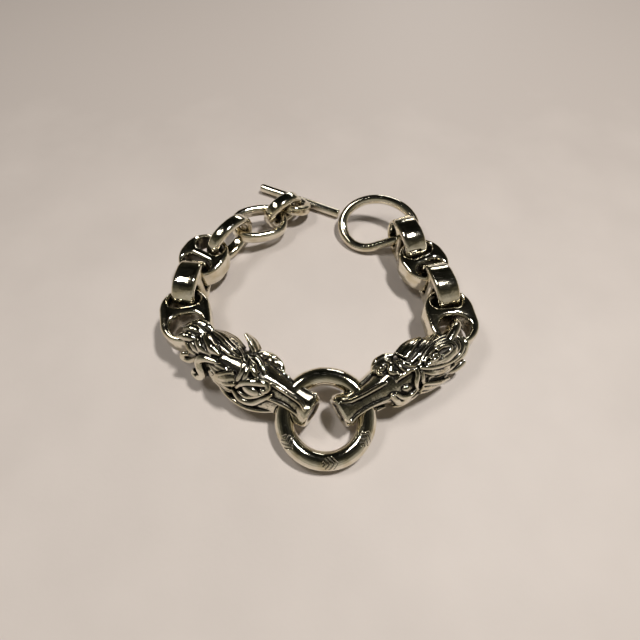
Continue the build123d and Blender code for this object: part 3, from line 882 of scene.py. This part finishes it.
# %% Locks of the right head
RIGHT_LOCKS = [
    # mane, oval round a bead
    ((0.5, 0.6, 0.6, 0.6, 0.6, 0.6, 0.6, 0.5), 1,
     (0.63, 0.04, 0.52), (0.735, -0.1, 0.49), (0.87, -0.17, 0.43), (0.99, -0.14, 0.38),
     (1.05, -0.01, 0.38), (1.04, 0.13, 0.36), (0.98, 0.22, 0.31), (0.87, 0.24, 0.35), (0.73, 0.18, 0.45),
     (0.632, 0.07, 0.52)),
    ((0.47, 0.47), 1,
     (0.68, 0.03, 0.53), (0.76, -0.06, 0.52), (0.87, -0.12, 0.475), (0.97, -0.085, 0.44),
     (1.01, 0.02, 0.43), (0.99, 0.135, 0.4), (0.89, 0.185, 0.42), (0.77, 0.155, 0.47), (0.69, 0.09, 0.52)),
    ((0.45, 0.45), 1,
     (0.71, 0.0, 0.545), (0.79, -0.06, 0.53), (0.885, -0.075, 0.5), (0.96, -0.01, 0.475),
     (0.965, 0.09, 0.455), (0.88, 0.14, 0.46), (0.79, 0.135, 0.49), (0.71, 0.1, 0.52)),
    ((0.42, 0.42), 1,
     (0.81, -0.02, 0.545), (0.875, -0.03, 0.53), (0.93, 0.03, 0.51), (0.9, 0.085, 0.5), (0.83, 0.1, 0.51)),
    ((0.33, 0.33), 1,
     (0.735, 0.05, 0.56), (0.77, 0.025, 0.565), (0.805, 0.05, 0.56), (0.8, 0.085, 0.55),
     (0.765, 0.095, 0.55), (0.735, 0.08, 0.555), (0.735, 0.05, 0.56)),
    # neck
    ((0.4, 1.0, 1.0, 0.5), 1,
     (1.08, -0.02, 0.37), (1.07, 0.12, 0.34), (1.03, 0.23, 0.22), (0.95, 0.28, 0.13)),
    ((0.3, 0.9, 0.9, 0.3), 2,
     (0.63, 0.12, 0.48), (0.72, 0.22, 0.41), (0.81, 0.28, 0.29), (0.89, 0.3, 0.22)),
    ((0.3, 1.2, 1.2, 0.3), 2,
     (0.68, 0.29, 0.3), (0.78, 0.32, 0.15), (0.89, 0.33, 0.06), (1.01, 0.31, 0.03)),
    ((0.5, 0.9, 0.95, 0.9), 1,
     (0.86, 0.33, -0.04), (0.93, 0.37, -0.03), (1.0, 0.37, -0.01), (1.05, 0.34, 0.02)),
    ((0.3, 1.2, 1.2, 0.3), 2,
     (0.69, 0.34, -0.1), (0.8, 0.36, -0.2), (0.9, 0.33, -0.26), (0.99, 0.28, -0.27)),
    ((0.5, 1.1, 0.5), 1, (0.6, -0.2, 0.42), (0.7, -0.25, 0.4), (0.82, -0.3, 0.29)),
    ((0.4, 1.3, 1.2, 0.4), 2,
     (0.57, -0.08, 0.49), (0.69, -0.18, 0.44), (0.8, -0.25, 0.37), (0.92, -0.29, 0.26)),
    ((0.4, 1.2, 1.2, 0.4), 2,
     (0.7, -0.29, 0.2), (0.8, -0.32, 0.14), (0.9, -0.32, 0.08), (1.0, -0.28, 0.06)),
    ((0.4, 1.2, 1.2, 0.4), 2,
     (0.68, -0.34, 0.0), (0.79, -0.34, -0.06), (0.89, -0.31, -0.12), (0.99, -0.26, -0.14)),
    # forelock
    ((0.3, 0.7, 0.7, 0.3), 1,
     (0.55, -0.24, 0.43), (0.555, -0.12, 0.49), (0.58, -0.04, 0.52), (0.617, 0.02, 0.52)),
    ((0.3, 0.7, 0.7, 0.3), 1,
     (0.52, -0.26, 0.37), (0.525, -0.13, 0.46), (0.545, 0.01, 0.5), (0.6, 0.06, 0.52)),
    ((0.3, 0.7, 0.3), 1, (0.56, 0.06, 0.5), (0.5, 0.03, 0.475), (0.44, 0.06, 0.445)),
    ((0.5, 0.65, 0.65, 0.4), 1,
     (0.607, 0.05, 0.52), (0.594, 0.16, 0.49), (0.565, 0.26, 0.4), (0.58, 0.36, 0.17)),
    ((0.5, 0.6, 0.4), 1, (0.64, 0.14, 0.48), (0.625, 0.26, 0.39), (0.64, 0.36, 0.12)),
    # brows and lids
    ((0.4, 0.65, 0.8, 0.8, 0.7, 0.55, 0.4), 1,
     (0.49, -0.02, 0.45), (0.445, -0.11, 0.44), (0.475, -0.2, 0.42), (0.465, -0.27, 0.35),
     (0.41, -0.27, 0.32), (0.375, -0.2, 0.35), (0.395, -0.14, 0.39)),
    ((0.5, 1.0, 1.0, 0.4), 1,
     (0.37, -0.34, 0.22), (0.42, -0.39, 0.25), (0.49, -0.39, 0.28), (0.56, -0.34, 0.32)),
    ((0.5, 0.85, 0.85, 0.7, 0.4), 1,
     (0.37, 0.21, 0.365), (0.395, 0.31, 0.25), (0.46, 0.385, 0.12), (0.54, 0.405, 0.08),
     (0.62, 0.38, 0.02)),
    ((0.4, 0.6, 0.6, 0.4), 1,
     (0.4, 0.23, 0.37), (0.44, 0.33, 0.28), (0.51, 0.37, 0.21), (0.58, 0.34, 0.26)),
    ((0.4, 0.6, 0.6, 0.4), 1,
     (0.38, 0.37, 0.02), (0.44, 0.41, -0.06), (0.51, 0.42, -0.1), (0.58, 0.4, -0.1)),
    # nose
    ((0.3, 0.45, 0.45, 0.45, 0.5), 1,
     (0.38, 0.0, 0.4), (0.3, -0.01, 0.355), (0.2, -0.02, 0.31), (0.1, -0.05, 0.285), (0.04, -0.11, 0.26)),
    ((0.3, 0.5, 0.5, 0.5, 0.5), 1,
     (0.38, 0.25, 0.31), (0.3, 0.215, 0.265), (0.2, 0.19, 0.225), (0.1, 0.2, 0.195), (0.04, 0.24, 0.18)),
    ((0.3, 0.6, 0.5, 0.5), 1,
     (0.33, 0.31, 0.0), (0.22, 0.265, -0.03), (0.11, 0.25, -0.04), (0.05, 0.27, -0.04)),
    ((0.3, 0.6, 0.5, 0.5), 1,
     (0.36, -0.28, 0.17), (0.24, -0.21, 0.13), (0.12, -0.2, 0.1), (0.05, -0.24, 0.09)),
]
RIGHT_BULGES = [
    ((0.85, 0.03, 0.4), (5.4, 2.9, 1.6)),
    ((0.77, 0.06, 0.54), (1.0, 0.5, 0.5)),
    ((0.42, -0.24, 0.32), (1.5, 1.1, 1.3)),
    ((0.45, -0.29, 0.22), (3.4, 1.8, 2.2)),
    ((0.46, 0.345, 0.14), (2.5, 1.5, 1.7)),
    ((0.49, 0.235, 0.375), (1.1, 0.8, 0.7)),
    ((0.5, 0.26, -0.2), (4.0, 2.6, 3.2)),
    ((0.5, -0.24, -0.18), (4.0, 2.6, 3.4)),
]

print("locks on the right head:", len(RIGHT_LOCKS))

# %% Ears
EARS = {
    "head_left": [((0.57, 0.26, 0.42), (0.635, 0.34, 0.52), (0.7, 0.37, 0.62)),
                  ((0.58, -0.3, 0.33), (0.66, -0.38, 0.25), (0.75, -0.42, 0.14))],
    "head_right": [((0.6, 0.33, 0.22), (0.73, 0.42, 0.08), (0.88, 0.46, -0.06)),
                   ((0.57, -0.24, 0.42), (0.68, -0.33, 0.4), (0.8, -0.37, 0.34))],
}


def ear(bm, stops, count=14):
    """Pointed ear laid back, with a raised rim round its hollow."""
    line = bend([spot(*stop) for stop in stops], count)
    strand(bm, line, widths_along((1.6, 1.7, 1.3, 0.6), count), 0.6)
    apart = widths_along((1.3, 1.4, 1.0, 0.2), count)
    for side in (1, -1):
        rim = []
        for i, (point, _, outwards, across) in enumerate(ways_along(line)):
            rim.append(point + across * side * apart[i] + outwards * 0.55 * (1 - i / 16))
        strand(bm, rim, widths_along((0.5, 0.5, 0.25), count))


print("ears:", sum(len(ears) for ears in EARS.values()))

# %% [markdown]
# ### Clearing the ring, the link and the lug
#
# The mouth is closed round the ring but doesn't touch it, and the neck leaves room for the first link.
# Both spaces are cut out of the melted skin. The lug behind the neck, a loop of round wire through the
# link, is joined on after that.

# %% Spaces and lug
CLEAR = 0.3
LUG_HEIGHT, LUG_WIRE, LUG_HOLE, LUG_LIFT = 12.2, 2.4, 5.0, 0.5


def ring_space(place):
    """The ring with some room round it, seen from a head."""
    bm = torus(RING_RADIUS, RING_WIRE + 2 * CLEAR, 120, 32)
    bmesh.ops.transform(bm, verts=bm.verts, matrix=place.inverted() @ ring_place)
    return bm


def link_space(node, place):
    """The first link without its slots, with some room round it, seen from a head."""
    x, y, z, heading, pitch, roll = next(row[2:] for row in CHAIN if row[0] == MOUTHS[node][3])
    grow = 2 * CLEAR
    bm = plate(LARGE_LENGTH + FIRST_LEAD + grow, LARGE_WIDTH + grow, LARGE_THICK + grow, LARGE_ROLL)
    move(bm, -FIRST_LEAD / 2)
    bmesh.ops.transform(bm, verts=bm.verts, matrix=place.inverted() @ turned(x, y, z, heading, pitch, roll))
    return bm


def lug(turn):
    """Upright loop of round wire behind the neck."""
    bm = bmesh.new()
    middle = (LUG_HEIGHT - LUG_WIRE) / 2
    arc = middle - 0.1 * HEAD_LENGTH - LUG_HOLE - LUG_WIRE / 2
    line = [Vector((2.0, 0, middle)), Vector((arc / 2, 0, middle))]
    line += [Vector((arc - middle * sin(pi * i / 24), 0, middle * cos(pi * i / 24))) for i in range(25)]
    line += [Vector((arc / 2, 0, -middle)), Vector((2.0, 0, -middle))]
    strand(bm, [point + Vector((0, 0.001, 0)) for point in line], [LUG_WIRE / 2] * len(line), sides=24)
    bmesh.ops.rotate(bm, verts=bm.verts, matrix=Matrix.Rotation(radians(turn), 3, "Z"))
    start = HEAD_NOSE - 0.9 * HEAD_LENGTH
    move(bm, start, 0, LUG_LIFT)
    bmesh.ops.recalc_face_normals(bm, faces=bm.faces)
    return bm


# %% Relief
RELIEF_ROUNDS, RELIEF_FULL = 14, 0.20     # rounds of smoothing, and the height in mm that counts as one


def listed(data, name, width, kind=float):
    """One row of values for every point or edge of a mesh."""
    values = np.empty(len(data) * width, dtype=kind)
    data.foreach_get(name, values)
    return values.reshape(-1, width)


def mark_relief(mesh):
    """Write how far each point stands out of its smoothed neighbourhood: above zero on a ridge."""
    count = len(mesh.vertices)
    spots, normals = listed(mesh.vertices, "co", 3), listed(mesh.vertices, "normal", 3)
    a, b = listed(mesh.edges, "vertices", 2, int).T
    degree = np.bincount(a, minlength=count) + np.bincount(b, minlength=count)
    smooth = spots.copy()
    for _ in range(RELIEF_ROUNDS):
        total = np.zeros_like(smooth)
        for axis in range(3):
            total[:, axis] = np.bincount(a, smooth[b, axis], count) + np.bincount(b, smooth[a, axis], count)
        smooth = total / degree[:, None]
    height = ((spots - smooth) * normals).sum(axis=1) / MM
    relief = np.clip(height / RELIEF_FULL, -1, 1)
    mesh.attributes.new("relief", "FLOAT", "POINT").data.foreach_set("value", relief)
    print("relief from", round(float(relief.min()), 2), "to", round(float(relief.max()), 2))


# %% Both heads
HEAD_SKIN = 0.17     # voxels of the melted skin


def head(node, locks, bulges):
    """One cast head in its place."""
    place = place_of_head(node)
    bm = bmesh.new()
    skull(bm)
    for row in locks:
        lock(bm, *row)
    for where, size in bulges:
        bulge(bm, where, size)
    for stops in EARS[node]:
        ear(bm, stops)
    bm = cut(melted(bm, HEAD_SKIN, 1), link_space(node, place))
    bm = cut(bm, lug(MOUTHS[node][2]), "UNION")
    bm = cut(bm, ring_space(place))
    mark_relief(piece(node + "_cast", bm, node, cast, place, crisp=60).data)


head("head_left", LEFT_LOCKS, LEFT_BULGES)
head("head_right", RIGHT_LOCKS, RIGHT_BULGES)

# %% [markdown]
# ## The table and the light
#
# Silver shows its surroundings more than itself. The table is pale and warm and fills its flanks. The room
# is darkest high up at the back, where the flat tops look, and paler all round, where the curved wires
# look. Two soft lights overhead, the right one stronger, give each rounded edge its bright line and each
# piece its two shadows; a dim window behind draws the back edges.

# %% Table
# The dark end of the ramp holds the random darker tone and the painted shade at the back
TABLE_DARK_AND_SHADED, TABLE_PALE = (0.482, 0.427, 0.389), (0.641, 0.573, 0.524)


def table_paint_and_shade():
    """Matt pale paint, a little uneven, with painted shade that darkens it towards the back."""
    material, tree, paint = shader("pale_table")
    place = add(tree, "ShaderNodeTexCoord").outputs["Object"]
    cloud, grain = noise(tree, place, 40, 4), noise(tree, place, 900, 3)
    back = add(tree, "ShaderNodeSeparateXYZ", {"Vector": place}).outputs["Y"]
    # Painted shade: the table darkens towards the back, where the lights fall off; the cloud adds uneven
    # tone
    level = calculate(tree, "MULTIPLY_ADD", back, -4.5, calculate(tree, "MULTIPLY", cloud, 0.5))
    colour = ramp(tree, remap(tree, level, -0.15, 0.65, 0, 1), (0.0, TABLE_DARK_AND_SHADED), (1.0, TABLE_PALE))
    tree.links.new(colour, paint.inputs["Base Color"])
    tree.links.new(bump(tree, grain, 0.2, 0.0001), paint.inputs["Normal"])
    paint.inputs["Roughness"].default_value = 0.6
    return material


bm = bmesh.new()
bmesh.ops.create_grid(bm, x_segments=1, y_segments=1, size=0.6)
table = thing_of(bm, "table")
table.data.materials.append(table_paint_and_shade())
print("table", round(table.dimensions.x, 2), "m wide")

# %% Lights
def softbox(name, where, sizes, watts, colour):
    """Oblong soft light that faces the bracelet."""
    lamp = bpy.data.lights.new(name, "AREA")
    lamp.shape = "RECTANGLE"
    lamp.size, lamp.size_y = sizes
    lamp.energy = watts
    lamp.color = colour
    thing = bpy.data.objects.new(name, lamp)
    thing.location = where
    thing.rotation_euler = (-Vector(where)).to_track_quat("-Z", "Y").to_euler()
    bpy.context.collection.objects.link(thing)
    print(name, "watts", watts)


softbox("light_right", (0.18, 0.07, 0.50), (0.08, 0.045), 2.35, (1.0, 0.98, 0.955))
softbox("light_left", (-0.22, 0.08, 0.44), (0.16, 0.10), 0.72, (1.0, 0.98, 0.955))
softbox("window", (0.14, 0.60, 0.20), (0.20, 0.12), 0.30, (1.0, 0.99, 0.97))

# %% Room
ROOM_GLOW = [
    # how far from the dark corner high up at the back, colour
    (0.06, (0.003, 0.003, 0.002)), (0.26, (0.009, 0.009, 0.007)), (0.44, (0.026, 0.025, 0.018)),
    (0.64, (0.075, 0.070, 0.052)), (1.00, (0.380, 0.350, 0.295)),
]


def room():
    """Surroundings for the reflections: dark high up at the back, paler all round, and uneven."""
    world = bpy.data.worlds.new("room")
    world.use_nodes = True
    tree = world.node_tree
    way = add(tree, "ShaderNodeTexCoord").outputs["Generated"]
    cloud = noise(tree, way, 5.0, 2.5)
    dark = add(tree, "ShaderNodeVectorMath", {0: way, 1: (0.0, 0.45, 0.89)}, operation="DOT_PRODUCT")
    away = calculate(tree, "SUBTRACT", 1.0, dark.outputs["Value"])
    height = add(tree, "ShaderNodeSeparateXYZ", {"Vector": way}).outputs["Z"]
    uneven = calculate(
        tree, "MULTIPLY", remap(tree, height, 0.1, 0.5, 0, 0.85), calculate(tree, "SUBTRACT", cloud, 0.5))
    level = calculate(tree, "ADD", calculate(tree, "ADD", away, 0.42), uneven)
    glow = ramp(tree, remap(tree, level, 0.30, 1.50, 0, 1), *ROOM_GLOW)
    tree.links.new(glow, tree.nodes["Background"].inputs["Color"])
    return world


bpy.context.scene.world = room()
bpy.context.scene.view_settings.view_transform = "Standard"
print("room with", len(ROOM_GLOW), "steps from dark to pale")

# %% [markdown]
# ## The camera
#
# The photograph looks down at sixty degrees from an eighth of a metre, so near things are clearly larger.
# The lens is given for a frame of 640 by 640.

# %% Camera
CAMERA_PLACE = Vector((0, -0.0625, 0.10825))     # 0.125 m away, sixty degrees up

camera_data = bpy.data.cameras.new("camera")
camera_data.lens = 25.3125
camera_data.sensor_width = 36
camera_data.clip_start = 0.005
camera = bpy.data.objects.new("camera", camera_data)
aim = SHIFT * MM
camera.location = aim + CAMERA_PLACE
camera.rotation_euler = (aim - camera.location).to_track_quat("-Z", "Y").to_euler()
bpy.context.collection.objects.link(camera)
bpy.context.scene.camera = camera
print("camera lens in mm:", camera_data.lens)
